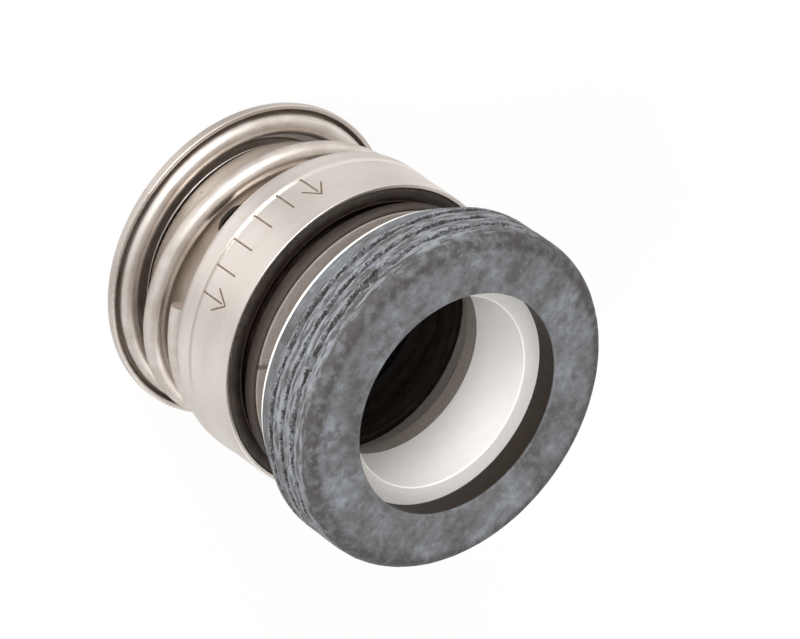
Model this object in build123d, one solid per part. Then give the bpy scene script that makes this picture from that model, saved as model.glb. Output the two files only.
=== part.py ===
from build123d import *
import math
import os

# Rotary shaft seal: a sprung rotating head and a stationary seat, standing on its spring-holder end.
# Millimetres, +Z up along the shaft, from the back of the spring holder to the front of the seat.

# The pump's shaft, and the walls and gaps from it outwards
SHAFT_R = 7.94
TAIL_WALL = 3.64
TAIL_STEP = 0.63
FOLD_GAP = 0.76
SHEET = 0.42
COIL_GAP = 0.2
WIRE_R = 0.95
SHELL_OVER_COIL = 0.4
HOLDER_OVER_COIL = 0.78
CERAMIC_GAP = 0.96
CERAMIC_WALL = 5.6
CUP_WALL = 1.375
LIP_STEP = 1.37

# Spring holder, a pressed sheet dish
HOLDER_CORNER_R = 1.1
HOLDER_LIP_H = 1.07
HOLDER_COLLAR_H = 1.3

# Spring: a flat end turn, an open rise and a second flat end turn, wound left-handed
SPRING_H = 9.7
SPRING_SEAT_GAP = 0.02
COIL_PITCH = 8.2
COIL_TIP_GAP = 0.29
COIL_RISE_FROM = 139.0
COIL_END = 690.0
COIL_BLEND = 22.0

# Shell round the front of the head
SHELL_LEN = 8.1
SHELL_CORNER_R = 1.35
SHELL_BEAD = 0.08
SHELL_GROOVE_AT = 2.8
SHELL_GROOVE_W = 0.4
SHELL_GROOVE_D = 0.14
STROKE = 2.3

# Drive band, with notches that the tabs of the shell slide in
BAND_FROM_HOLDER = 2.2
BAND_IN_SHELL = 1.1
BAND_FIT = 0.12
NOTCHES = 7
NOTCH_AT = 260.0
NOTCH_W = 3.6
NOTCH_FLARE = 1.1
NOTCH_SPARE = 0.25
TAB_SIDE_GAP = 0.7
TAB_IN = 0.55

# Carbon ring
CARBON_INSET = 1.5
CARBON_FLANGE_W = 1.4
CARBON_WALL = 1.3
CARBON_PROUD = 2.47
CARBON_FLANGE_T = 1.1
CARBON_LEN = 7.5
NOSE_H = 1.53
NOSE_STEP = 1.7
NOSE_BORE_STEP = 0.35
NOSE_CONE_H = 1.0
SLOT_W = 0.5
SLOT_DEEP = 0.35
SLOT_AT = 302.5

# Ceramic seat ring
CERAMIC_T = 7.1
CERAMIC_CHAMFER = 1.25
CERAMIC_BORE_CHAMFER = 0.35
CERAMIC_EDGE_R = 0.12

# Rubber seat cup
LIP_T = 2.57
LIP_DRAFT = 0.28
SHOULDER_R = 1.55
CERAMIC_SHOWS = 1.75
CUP_TAPER_H = 2.25
CUP_BACK_WALL = 0.22
FRONT_LAND = 0.15
BACK_LAND = 0.3
GROOVE_PITCH = 1.52
GROOVE_W = 0.42
GROOVE_D = 0.5
GROOVE_FLANK = 0.05

# Rubber bellows
TAIL_INSET = 0.1
TAIL_LEN = 6.95
SKIN = 1.25
HEAD_SKIN = 1.6
LIP_SINK = 0.1
RECESS_W = 0.89
RECESS_D = 1.5
COLLAR_SKIN = 0.27
COLLAR_WALL = 0.33
COLLAR_SINK = 0.15
POCKET_LIP = 0.75
POCKET_LIP_H = 1.2
POCKET_LIP_AT = 1.9
RIDGE = 0.7

# Radii that follow from the walls and gaps
TAIL_R = SHAFT_R + TAIL_WALL
BAND_R = TAIL_R + SHEET
COIL_R = BAND_R + COIL_GAP + WIRE_R
SHELL_R = COIL_R + WIRE_R + SHELL_OVER_COIL
HOLDER_R = COIL_R + WIRE_R + HOLDER_OVER_COIL
HOLDER_HOLE_R = TAIL_R - TAIL_STEP
FOLD_R = SHAFT_R + FOLD_GAP
CERAMIC_IN_R = SHAFT_R + CERAMIC_GAP
CERAMIC_R = CERAMIC_IN_R + CERAMIC_WALL
CUP_R = CERAMIC_R + CUP_WALL
LIP_R = CERAMIC_IN_R + LIP_STEP
CARBON_R = SHELL_R - CARBON_INSET
CARBON_BODY_R = CARBON_R - CARBON_FLANGE_W
CARBON_BORE_R = CARBON_BODY_R - CARBON_WALL
NOSE_OUT_R = CARBON_R - NOSE_STEP
NOSE_IN_R = CERAMIC_IN_R + NOSE_BORE_STEP
NECK_R = CARBON_BODY_R + COLLAR_SKIN
TAB_W = NOTCH_W - 2.0 * TAB_SIDE_GAP

# Heights along the shaft that follow from the lengths
SHELL_BACK_Z = SHEET + SPRING_H
SHELL_FRONT_Z = SHELL_BACK_Z + SHELL_LEN
SHOULDER_Z = SHELL_FRONT_Z + CARBON_PROUD
FACE_Z = SHOULDER_Z + NOSE_H
CARBON_BACK_Z = FACE_Z - CARBON_LEN
FLANGE_BACK_Z = SHOULDER_Z - CARBON_FLANGE_T
CERAMIC_FRONT_Z = FACE_Z + CERAMIC_T
TOTAL_H = CERAMIC_FRONT_Z + LIP_T
CUP_BACK_Z = FACE_Z + CERAMIC_SHOWS
CUP_TAPER_Z = CUP_BACK_Z + CUP_TAPER_H
HOLDER_COLLAR_Z = SHEET + HOLDER_COLLAR_H
BAND_BACK_Z = SHEET + BAND_FROM_HOLDER
BAND_TOP_Z = SHELL_BACK_Z + BAND_IN_SHELL

# The cup holds as many grooves as fit between its shoulder and its taper
FIRST_GROOVE_Z = TOTAL_H - SHOULDER_R - FRONT_LAND - GROOVE_FLANK - GROOVE_W / 2.0
GROOVE_ROOM = FIRST_GROOVE_Z - GROOVE_W / 2.0 - BACK_LAND - CUP_TAPER_Z
GROOVES = int(GROOVE_ROOM / GROOVE_PITCH) + 1

# The flat end turn starts where the wire has risen clear of its own tip
COIL_START = COIL_RISE_FROM - 360.0 * (1.0 - (2.0 * WIRE_R + COIL_TIP_GAP) / COIL_PITCH)


def turned(points):
    """Solid of revolution about Z from (radius, z) corners; a third number rounds that corner."""
    face = make_face(Polyline(*[(p[0], p[1]) for p in points], close=True))
    for p in points:
        if len(p) > 2:
            corner = face.vertices().sort_by_distance((p[0], p[1], 0))[0]
            face = fillet(corner, p[2])
    return revolve(Plane.XZ * face, axis=Axis.Z)


def around(shape, count, first_angle):
    """Copies of a shape that sits on +X, spread evenly about Z from first_angle."""
    return [Rot(0, 0, first_angle + i * 360.0 / count) * shape for i in range(count)]


def make_spring_holder():
    lip_in = HOLDER_R - SHEET
    lip_top = SHEET + HOLDER_LIP_H
    collar_out = HOLDER_HOLE_R + SHEET
    return turned([
        (HOLDER_HOLE_R, 0.0, 0.5), (HOLDER_R, 0.0, HOLDER_CORNER_R), (HOLDER_R, lip_top, 0.15),
        (lip_in, lip_top, 0.15), (lip_in, SHEET, HOLDER_CORNER_R - SHEET), (collar_out, SHEET, 0.2),
        (collar_out, HOLDER_COLLAR_Z, 0.12), (HOLDER_HOLE_R, HOLDER_COLLAR_Z, 0.12),
    ])


def coil_point(turn, z):
    angle = math.radians(turn)
    return (COIL_R * math.cos(angle), COIL_R * math.sin(angle), z)


def coil_blend(turn, z, side):
    """Eases a flat turn (side -1 before the rise, +1 after it) into the helix about one angle."""
    slope = COIL_PITCH / 360.0
    edge = COIL_BLEND
    flat_end, steep_end = turn + side * edge, turn - side * edge
    points = []
    for share in (0.0, 0.25, 0.5, 0.75, 1.0):
        along = share * 2.0 * edge
        points.append(coil_point(flat_end - side * along, z - side * slope * along ** 2 / (4.0 * edge)))
    flat = Vector(-math.sin(math.radians(flat_end)), math.cos(math.radians(flat_end)), 0.0)
    rise = COIL_PITCH / (2.0 * math.pi * COIL_R)
    steep = Vector(-math.sin(math.radians(steep_end)), math.cos(math.radians(steep_end)), rise)
    if side > 0:
        points.reverse()
        return Spline(*points, tangents=(steep, flat))
    return Spline(*points, tangents=(flat, steep))


def make_spring():
    low = SHEET + SPRING_SEAT_GAP + WIRE_R
    high = SHELL_BACK_Z - SPRING_SEAT_GAP - WIRE_R
    rise_from, rise_to = COIL_RISE_FROM, COIL_RISE_FROM + (high - low) / COIL_PITCH * 360.0
    helix_turn = rise_to - rise_from - 2.0 * COIL_BLEND
    helix_h = helix_turn / 360.0 * COIL_PITCH
    flat_start = CenterArc((0, 0), COIL_R, COIL_START, rise_from - COIL_BLEND - COIL_START)
    helix = Helix(pitch=COIL_PITCH, height=helix_h, radius=COIL_R)
    flat_end = CenterArc((0, 0), COIL_R, rise_to + COIL_BLEND, COIL_END - rise_to - COIL_BLEND)
    helix_low = low + COIL_BLEND / 360.0 * COIL_PITCH
    path = Wire([
        *(Pos(0, 0, low) * flat_start).edges(),
        *coil_blend(rise_from, low, -1).edges(),
        *(Pos(0, 0, helix_low) * Rot(0, 0, rise_from + COIL_BLEND) * helix).edges(),
        *coil_blend(rise_to, high, 1).edges(),
        *(Pos(0, 0, high) * flat_end).edges(),
    ])
    wire = sweep(Plane(origin=path @ 0, z_dir=path % 0) * Circle(WIRE_R), path=path)
    return Rot(0, 0, -90) * mirror(wire, about=Plane.XZ)


def make_drive_band():
    band = turned([
        (BAND_R - SHEET, BAND_BACK_Z, 0.12), (BAND_R, BAND_BACK_Z, 0.2),
        (BAND_R, BAND_TOP_Z, 0.12), (BAND_R - SHEET, BAND_TOP_Z, 0.12),
    ])
    half = NOTCH_W / 2.0
    floor = SHELL_BACK_Z - STROKE - NOTCH_SPARE
    outline = make_face(Polyline(
        (-half, floor), (half, floor), (half, BAND_TOP_Z - NOTCH_FLARE),
        (half + NOTCH_FLARE, BAND_TOP_Z + 0.5), (-half - NOTCH_FLARE, BAND_TOP_Z + 0.5),
        (-half, BAND_TOP_Z - NOTCH_FLARE), close=True))
    outline = fillet(outline.vertices().sort_by(Axis.Y)[:2], NOTCH_W * 0.4)
    for notch in around(extrude(Plane.YZ * outline, amount=BAND_R + 2.0), NOTCHES, NOTCH_AT):
        band -= notch
    return band


def make_shell():
    inner = SHELL_R - SHEET
    hole = BAND_R + BAND_FIT
    groove_z = SHELL_BACK_Z + SHELL_GROOVE_AT
    low, high = groove_z - SHELL_GROOVE_W / 2.0, groove_z + SHELL_GROOVE_W / 2.0
    shell = turned([
        (hole, SHELL_BACK_Z), (SHELL_R + SHELL_BEAD, SHELL_BACK_Z, SHELL_CORNER_R),
        (SHELL_R + SHELL_BEAD, low, 0.06), (SHELL_R - SHELL_GROOVE_D, groove_z, 0.06), (SHELL_R, high, 0.1),
        (SHELL_R, SHELL_FRONT_Z, 0.1), (inner, SHELL_FRONT_Z, 0.1),
        (inner, SHELL_BACK_Z + SHEET, SHELL_CORNER_R - SHEET), (hole, SHELL_BACK_Z + SHEET),
    ])
    root = SHEET
    tab = Pos(hole + (root - TAB_IN) / 2.0, 0, SHELL_BACK_Z + SHEET / 2.0) * Box(TAB_IN + root, TAB_W, SHEET)
    for piece in around(tab, NOTCHES, NOTCH_AT):
        shell += piece
    return shell


def make_bellows():
    head_r = SHELL_R - SHEET
    lip_z = SHELL_FRONT_Z - LIP_SINK
    recess_z = SHELL_FRONT_Z - RECESS_D
    lip_in = NECK_R + RECESS_W
    collar_r = CARBON_R + COLLAR_WALL
    collar_z = SHOULDER_Z - COLLAR_SINK
    fold_out = FOLD_R + SKIN
    fold_z = TAIL_LEN + SKIN * 0.9
    head_back_z = CARBON_BACK_Z - HEAD_SKIN
    pocket = CARBON_BORE_R - 0.2
    pocket_front = SHOULDER_Z - POCKET_LIP_AT
    pocket_lip = CARBON_BORE_R - POCKET_LIP
    tail = [
        (SHAFT_R, TAIL_INSET, 0.3), (HOLDER_HOLE_R, TAIL_INSET), (HOLDER_HOLE_R, HOLDER_COLLAR_Z + 0.05),
        (TAIL_R, HOLDER_COLLAR_Z + 0.3, 0.2), (TAIL_R, TAIL_LEN, 0.6), (fold_out, fold_z, 0.5),
    ]
    head = [
        (fold_out, head_back_z - SKIN * 1.5, 0.5), (TAIL_R - 0.6, head_back_z - 0.65, 0.5),
        (head_r, head_back_z, 0.8), (head_r, lip_z, 0.15), (lip_in, lip_z, 0.12),
        (lip_in, recess_z, 0.3), (NECK_R, recess_z, 0.3), (NECK_R, FLANGE_BACK_Z - 0.75, 0.3),
        (collar_r, FLANGE_BACK_Z - 0.25, 0.3), (collar_r, collar_z, 0.2), (CARBON_R, collar_z),
    ]
    pocket_wall = [
        (CARBON_R, FLANGE_BACK_Z), (CARBON_BODY_R, FLANGE_BACK_Z),
        (CARBON_BODY_R, CARBON_BACK_Z), (CARBON_BORE_R, CARBON_BACK_Z),
        (CARBON_BORE_R, pocket_front, 0.15), (pocket_lip, pocket_front, 0.25),
        (pocket_lip, pocket_front - POCKET_LIP_H, 0.25), (pocket, pocket_front - POCKET_LIP_H - 0.5, 0.2),
        (pocket, CARBON_BACK_Z + 0.9, 0.2), (pocket - RIDGE, CARBON_BACK_Z + 0.2, 0.4),
        (pocket - RIDGE, CARBON_BACK_Z - 1.1, 0.4), (pocket + 0.1, head_back_z - 0.1, 0.2),
    ]
    fold = [
        (FOLD_R, head_back_z - 2.1, 0.5), (FOLD_R, fold_z + 0.6, 0.5),
        (FOLD_R + 0.9, TAIL_LEN - 0.5, 0.4), (SHAFT_R, TAIL_LEN - 1.6, 0.3),
    ]
    return turned(tail + head + pocket_wall + fold)


def make_carbon_ring():
    ring = turned([
        (CARBON_BORE_R, CARBON_BACK_Z), (CARBON_BODY_R, CARBON_BACK_Z),
        (CARBON_BODY_R, FLANGE_BACK_Z), (CARBON_R, FLANGE_BACK_Z),
        (CARBON_R, SHOULDER_Z, 0.08), (NOSE_OUT_R, SHOULDER_Z, 0.2),
        (NOSE_OUT_R, FACE_Z, 0.08), (NOSE_IN_R, FACE_Z, 0.08),
        (NOSE_IN_R, SHOULDER_Z, 0.15), (CARBON_BORE_R, SHOULDER_Z - NOSE_CONE_H, 0.1),
    ])
    reach = CARBON_R - NOSE_OUT_R - 0.1
    slot = Pos(CARBON_R, 0, SHOULDER_Z) * Box(2.0 * reach, SLOT_W, 2.0 * SLOT_DEEP)
    return ring - Rot(0, 0, SLOT_AT) * slot


def make_ceramic_seat():
    outer, inner = CERAMIC_CHAMFER, CERAMIC_BORE_CHAMFER
    return turned([
        (CERAMIC_IN_R, CERAMIC_FRONT_Z, CERAMIC_EDGE_R), (CERAMIC_R, CERAMIC_FRONT_Z, CERAMIC_EDGE_R),
        (CERAMIC_R, FACE_Z + outer, 0.3), (CERAMIC_R - outer, FACE_Z, 0.1),
        (CERAMIC_IN_R + inner, FACE_Z), (CERAMIC_IN_R, FACE_Z + inner),
    ])


def make_seat_cup():
    outline = [(LIP_R, TOTAL_H, 0.18), (CUP_R, TOTAL_H, SHOULDER_R)]
    half, flank, floor_r = GROOVE_W / 2.0, GROOVE_FLANK, CUP_R - GROOVE_D
    for i in range(GROOVES):
        z = FIRST_GROOVE_Z - i * GROOVE_PITCH
        outline += [
            (CUP_R, z + half + flank, 0.05), (floor_r, z + half - flank, 0.05),
            (floor_r, z - half + flank, 0.05), (CUP_R, z - half - flank, 0.05),
        ]
    outline += [
        (CUP_R, CUP_TAPER_Z, 0.25), (CERAMIC_R + CUP_BACK_WALL, CUP_BACK_Z),
        (CERAMIC_R, CUP_BACK_Z), (CERAMIC_R, CERAMIC_FRONT_Z, CERAMIC_EDGE_R),
        (LIP_R + LIP_DRAFT, CERAMIC_FRONT_Z),
    ]
    return turned(outline)


NODES = {
    "spring_holder": make_spring_holder,
    "spring": make_spring,
    "drive_band": make_drive_band,
    "bellows": make_bellows,
    "shell": make_shell,
    "carbon_ring": make_carbon_ring,
    "ceramic_seat": make_ceramic_seat,
    "seat_cup": make_seat_cup,
}

os.makedirs("parts", exist_ok=True)
for name, make in NODES.items():
    solid = make()
    solid.label = name
    export_step(solid, f"parts/{name}.step")
    print(name, round(solid.volume, 2), len(solid.solids()), solid.is_valid)
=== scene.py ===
import bpy
import math
from mathutils import Matrix, Vector


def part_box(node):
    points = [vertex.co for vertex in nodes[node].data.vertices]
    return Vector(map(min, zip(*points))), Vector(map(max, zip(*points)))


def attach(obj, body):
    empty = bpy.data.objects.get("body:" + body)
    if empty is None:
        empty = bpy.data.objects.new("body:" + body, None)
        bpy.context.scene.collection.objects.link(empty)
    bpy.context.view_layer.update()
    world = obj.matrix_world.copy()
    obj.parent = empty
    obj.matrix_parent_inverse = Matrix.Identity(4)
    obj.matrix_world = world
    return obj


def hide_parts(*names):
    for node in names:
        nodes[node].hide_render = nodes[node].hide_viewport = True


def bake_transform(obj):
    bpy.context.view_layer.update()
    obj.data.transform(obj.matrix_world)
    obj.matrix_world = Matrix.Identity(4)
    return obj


# Shaft seal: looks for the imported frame. Metres, +Z along the shaft from the spring holder to the seat.
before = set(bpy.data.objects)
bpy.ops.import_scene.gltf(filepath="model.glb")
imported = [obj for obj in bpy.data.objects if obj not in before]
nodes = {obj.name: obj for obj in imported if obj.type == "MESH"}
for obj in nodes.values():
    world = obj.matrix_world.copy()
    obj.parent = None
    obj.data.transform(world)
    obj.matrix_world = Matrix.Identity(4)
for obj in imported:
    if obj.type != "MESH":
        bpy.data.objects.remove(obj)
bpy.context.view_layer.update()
MM = 0.001

# Sizes read from the frame
CUP_LOW, CUP_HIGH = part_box("seat_cup")
CARBON_LOW, CARBON_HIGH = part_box("carbon_ring")
SPRING_LOW, SPRING_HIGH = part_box("spring")
BELLOWS_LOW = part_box("bellows")[0]
CERAMIC_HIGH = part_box("ceramic_seat")[1]
SHELL_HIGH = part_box("shell")[1]
HOLDER_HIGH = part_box("spring_holder")[1]

# Seat cup
CUP_R = CUP_HIGH.x
LIP_R = 10.27 * MM
LIP_DRAFT = 0.28 * MM
CUP_SHOULDER_R = 1.55 * MM
CUP_TAPER_H = 2.25 * MM
CUP_BACK_WALL = 0.22 * MM
GROOVE_COUNT = 4
GROOVE_PITCH = 1.52 * MM
GROOVE_W = 0.42 * MM
GROOVE_D = 0.5 * MM
GROOVE_DIP = 0.3 * MM
FIRST_GROOVE_DROP = 1.96 * MM
GROOVE_EDGE = 0.05 * MM
GROOVE_WAVER = 0.3 * MM
GROOVE_JAG = 0.22 * MM
GROOVE_WEAR = 0.3 * MM
LAST_GROOVE_FADE = 0.6
TORN_TURN = 19.0
TORN_WIDTH = 0.42 * MM
SIDE_ROUGH = 0.08 * MM
SIDE_FROM, SIDE_TO = 0.9 * MM, 0.3 * MM
CUP_LIP_ROUND = 0.18 * MM
CUP_TAPER_ROUND = 0.25 * MM
CUP_SEAT_ROUND = 0.35 * MM
CUP_FINE_STEP, CUP_COARSE_STEP = 0.055 * MM, 0.25 * MM
CUP_SEGMENTS = 620

# Bellows
SHAFT_R = 7.94 * MM
TAIL_R = 11.58 * MM
TAIL_LEN = 6.95 * MM
HOLE_R = 10.95 * MM
FOLD_R = 8.7 * MM
SKIN = 1.25 * MM
HEAD_R = 14.08 * MM
HEAD_SKIN = 1.6 * MM
NECK_R = 11.87 * MM
RECESS_W = 0.89 * MM
RECESS_D = 1.5 * MM
COLLAR_WALL = 0.33 * MM
COLLAR_SINK = 0.15 * MM
LIP_SINK = 0.1 * MM
CARBON_BODY_R = 11.6 * MM
CARBON_BORE_R = 10.3 * MM
FLANGE_T = 1.1 * MM
NOSE_H = 1.53 * MM
POCKET_LIP = 0.75 * MM
RIDGE = 0.7 * MM
BELLOWS_RIPPLE = 0.02 * MM
BELLOWS_STEP = 0.35 * MM
BELLOWS_SEGMENTS = 288
HAIR_ROUND, LIP_ROUND, SMALL_ROUND, POCKET_ROUND = 0.12 * MM, 0.15 * MM, 0.2 * MM, 0.25 * MM
SOFT_ROUND, RIDGE_ROUND, FOLD_ROUND = 0.3 * MM, 0.4 * MM, 0.5 * MM
TAIL_ROUND, HEAD_ROUND = 0.6 * MM, 0.8 * MM

# Spring
WIRE_R = 0.95 * MM
COIL_R = 13.15 * MM
COIL_PITCH = 8.2 * MM
COIL_START = -124.85
COIL_RISE_FROM = 139.0
COIL_END = 690.0
COIL_BLEND = 22.0
COIL_POINTS = 640
WIRE_FACETS = 40

# Etched marks on the shell
SHELL_BAND_R = 14.5 * MM
MARK_AT = -17.5
MARK_STEP = 51.7
MARK_DROP = 3.78 * MM
MARK_LINE = 0.16 * MM
MARK_LIFT = 0.01 * MM
ARROW_LEN = 3.13 * MM
ARROW_GAP = 0.5 * MM
BARB_LEN = 1.84 * MM
BARB_TURN = 34.4
BAR_COUNT = 4
ARROW_COUNT = 2

# Rubber, carbon and ceramic: shades by place in a cloud, then the colours laid over them
CUP_SHADES = [(0.38, (0.09, 0.089, 0.09)), (0.46, (0.135, 0.139, 0.146)),
              (0.54, (0.178, 0.19, 0.208)), (0.64, (0.265, 0.288, 0.325))]
CUP_BLOT, CUP_SCUFF, CUP_SMEAR = (0.08, 0.077, 0.076), (0.3, 0.32, 0.35), (0.29, 0.305, 0.335)
# The middle colour here is painted shade for the cup's rounded front corner; the last is a painted highlight
# beside the grooves.
CUP_BARE, CUP_CORNER_SHADE, CUP_EDGE_HIGHLIGHT = (0.066, 0.062, 0.06), (0.068, 0.064, 0.063), (0.33, 0.345, 0.38)
# The first colour here is painted shade for the cup's grooves.
CUP_GROOVE_SHADE, CUP_LIP_WALL = (0.034, 0.029, 0.026), (0.019, 0.0125, 0.0085)
BELLOWS_SHADES = [(0.4, (0.011, 0.0065, 0.0045)), (0.6, (0.02, 0.013, 0.0095)), (0.8, (0.052, 0.042, 0.035))]
# The second colour here lightens the front lip with dust and painted sheen.
BELLOWS_RING, BELLOWS_LIP_DUST_AND_SHEEN = (0.042, 0.029, 0.021), (0.075, 0.064, 0.056)
# The second colour here is painted light for the top of the collar.
BELLOWS_INNER_EDGE_BROWN, BELLOWS_COLLAR_TOP_LIGHT = (0.14, 0.1, 0.075), (0.06, 0.048, 0.041)
CARBON_SHADES, CARBON_RING = [(0.35, (0.25, 0.22, 0.2)), (0.65, (0.31, 0.275, 0.25))], (0.42, 0.365, 0.33)
CERAMIC_SHADES = [(0.3, (0.875, 0.865, 0.85)), (0.7, (0.91, 0.90, 0.885))]

# Steel
SILVER, DULL = (0.87, 0.825, 0.78), (0.72, 0.66, 0.605)
SHELL_BRIGHT, SHELL_SHADE = (0.9, 0.855, 0.815), (0.82, 0.765, 0.72)
BAND_BRIGHT, BAND_SHADE = (0.74, 0.68, 0.62), (0.55, 0.48, 0.42)
STEEL_SPECK, WIRE_BLOOM = (0.36, 0.27, 0.2), (0.42, 0.34, 0.27)
MARK_SHADES = [(0.35, (0.13, 0.09, 0.06)), (0.65, (0.26, 0.19, 0.14))]

# Light: painted reflection, a floor glow seen only by polished metal: turn from -Y towards -X in degrees, and
# how brightly the floor glows there
FLOOR_REFLECTION_GLOW = [(-180, 0.8), (-131, 0.82), (-92, 0.72), (-62, 0.86), (-34, 0.72), (-15, 1.0), (15, 1.0),
               (33, 0.68), (62, 0.82), (92, 0.74), (131, 0.9), (180, 0.8)]
# Painted shadow round the object's foot in the floor's reflected glow.
FLOOR_FOOT_FROM, FLOOR_FOOT_TO, FLOOR_FOOT_SHADOW = 0.5 * MM, 10.0 * MM, 0.84
FLOOR_HALF = 2.0
FLOOR_GREY, FLOOR_FAINT, FLOOR_MIRRORED = (0.8, 0.8, 0.8, 1.0), (0.14, 0.14, 0.14, 1.0), (1.0, 0.975, 0.95, 1.0)
FLOOR_GLOW = 0.87
ROOM_SHADES = [(0.0, (0.95, 0.94, 0.93)), (0.45, (0.86, 0.84, 0.82)), (0.7, (0.6, 0.57, 0.54)),
               (0.84, (0.34, 0.305, 0.28)), (1.0, (0.24, 0.2, 0.17))]
ROOM_BRIGHT_SIDE = (-0.85, -0.3, 0.0)
ROOM_DIM, ROOM_BRIGHT = 0.8, 1.1
LAMP_TARGET = (0.0, 0.0, 0.02)

# Camera
AXIS_TILT = math.radians(46.0)
AXIS_ROLL = math.radians(34.6)
FRONT_RIGHT = 4.979 * MM
FRONT_DOWN = 7.242 * MM
FRONT_AHEAD = 464.84 * MM
LENS = 247.5


def node(tree, kind, values=None, **settings):
    """Adds a node with its settings; values fill its sockets with numbers or join them to other sockets."""
    made = tree.nodes.new(kind)
    for name, value in settings.items():
        setattr(made, name, value)
    for key, value in (values or {}).items():
        if isinstance(value, bpy.types.NodeSocket):
            tree.links.new(value, made.inputs[key])
        else:
            made.inputs[key].default_value = value
    return made


def calc(tree, operation, *values):
    return node(tree, "ShaderNodeMath", dict(enumerate(values)), operation=operation).outputs[0]


def times(tree, *values):
    """The product of two or more values."""
    made = values[0]
    for value in values[1:]:
        made = calc(tree, "MULTIPLY", made, value)
    return made


def split(tree, vector):
    """The x, y and z of a vector."""
    return node(tree, "ShaderNodeSeparateXYZ", {0: vector}).outputs


def radius_of(tree, xyz):
    """Distance from the shaft's axis."""
    squares = calc(tree, "ADD", calc(tree, "POWER", xyz[0], 2.0), calc(tree, "POWER", xyz[1], 2.0))
    return calc(tree, "SQRT", squares)


def turn_of(tree, xyz):
    """Turn round the shaft from -Y towards -X, in radians."""
    return calc(tree, "ARCTAN2", times(tree, xyz[0], -1.0), times(tree, xyz[1], -1.0))


def smooth(tree, value, low, high):
    """0 at low and 1 at high, with a soft step between them; low above high makes a falling step."""
    made = node(tree, "ShaderNodeMapRange", {"Value": value, "From Min": low, "From Max": high},
                interpolation_type="SMOOTHSTEP")
    return made.outputs["Result"]


# Meshes turned about the shaft

def rounded(corners, arc_gap=0.08 * MM):
    """Closed outline of (radius, z) corners; a third number rounds that corner with an arc."""
    points = []
    for i, corner in enumerate(corners):
        here = Vector(corner[:2])
        if len(corner) < 3:
            points.append(here)
            continue
        before = (Vector(corners[i - 1][:2]) - here).normalized()
        after = (Vector(corners[(i + 1) % len(corners)][:2]) - here).normalized()
        half = before.angle(after) / 2.0
        centre = here + (before + after).normalized() * corner[2] / math.sin(half)
        start = here + before * corner[2] / math.tan(half)
        sweep = math.pi - 2.0 * half
        turn = 1.0 if before.cross(after) < 0.0 else -1.0
        steps = max(3, int(sweep * corner[2] / arc_gap) + 1)
        for k in range(steps + 1):
            arm = Matrix.Rotation(turn * sweep * k / steps, 2) @ (start - centre)
            points.append(centre + arm)
    return points


def spaced(points, gap):
    """The same closed outline with no straight run longer than gap(point)."""
    out = []
    for i, a in enumerate(points):
        b = points[(i + 1) % len(points)]
        steps = max(1, math.ceil((b - a).length / gap((a + b) / 2.0)))
        out += [a.lerp(b, k / steps) for k in range(steps)]
    return out


def lathe(name, outline, segments):
    """A closed (radius, z) outline turned about Z into a smooth ring mesh with its faces outwards."""
    rows = len(outline)
    verts = []
    for s in range(segments):
        angle = 2.0 * math.pi * s / segments
        c, d = math.cos(angle), math.sin(angle)
        verts += [(p.x * c, p.x * d, p.y) for p in outline]
    area = sum(outline[i - 1].cross(outline[i]) for i in range(rows))
    faces = []
    for s in range(segments):
        here, there = s * rows, (s + 1) % segments * rows
        for i in range(rows):
            k = (i + 1) % rows
            face = (here + i, there + i, there + k, here + k)
            faces.append(face if area > 0.0 else face[::-1])
    mesh = bpy.data.meshes.new(name)
    mesh.from_pydata(verts, [], faces)
    mesh.polygons.foreach_set("use_smooth", [True] * len(mesh.polygons))
    mesh.update()
    obj = bpy.data.objects.new(name, mesh)
    bpy.context.scene.collection.objects.link(obj)
    return obj


# Geometry node trees

def geometry_tree(name, inputs):
    """A geometry tree with a Geometry input and output, and a named number input for each entry."""
    tree = bpy.data.node_groups.new(name, "GeometryNodeTree")
    tree.interface.new_socket("Geometry", in_out="INPUT", socket_type="NodeSocketGeometry")
    for title, value in inputs.items():
        kind = "NodeSocketInt" if isinstance(value, int) else "NodeSocketFloat"
        tree.interface.new_socket(title, in_out="INPUT", socket_type=kind)
    tree.interface.new_socket("Geometry", in_out="OUTPUT", socket_type="NodeSocketGeometry")
    return tree, tree.nodes.new("NodeGroupInput").outputs


def close_tree(tree, geometry, material):
    """Ends a geometry tree with Realize Instances and Set Material."""
    real = node(tree, "GeometryNodeRealizeInstances", {"Geometry": geometry})
    dressed = node(tree, "GeometryNodeSetMaterial", {"Geometry": real.outputs[0], "Material": material})
    node(tree, "NodeGroupOutput", {0: dressed.outputs[0]})


def grown(name, tree, inputs, base=None):
    """Runs a geometry tree on a piece, or on an empty mesh, and returns the result as a plain mesh object."""
    piece = base
    if piece is None:
        piece = bpy.data.objects.new(name, bpy.data.meshes.new(name))
        bpy.context.scene.collection.objects.link(piece)
    modifier = piece.modifiers.new("grow", "NODES")
    modifier.node_group = tree
    for item in tree.interface.items_tree:
        if item.in_out == "INPUT" and item.name in inputs:
            modifier[item.identifier] = inputs[item.name]
    bpy.context.view_layer.update()
    evaluated = piece.evaluated_get(bpy.context.evaluated_depsgraph_get())
    mesh = bpy.data.meshes.new_from_object(evaluated)
    piece.modifiers.clear()
    mesh.name = name
    piece.data = mesh
    mesh.polygons.foreach_set("use_smooth", [True] * len(mesh.polygons))
    return piece


def place(tree):
    """The point's radius from the shaft, its turn from -Y towards -X in radians, and its height."""
    xyz = split(tree, node(tree, "GeometryNodeInputPosition").outputs[0])
    return radius_of(tree, xyz), turn_of(tree, xyz), xyz[2]


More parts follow.
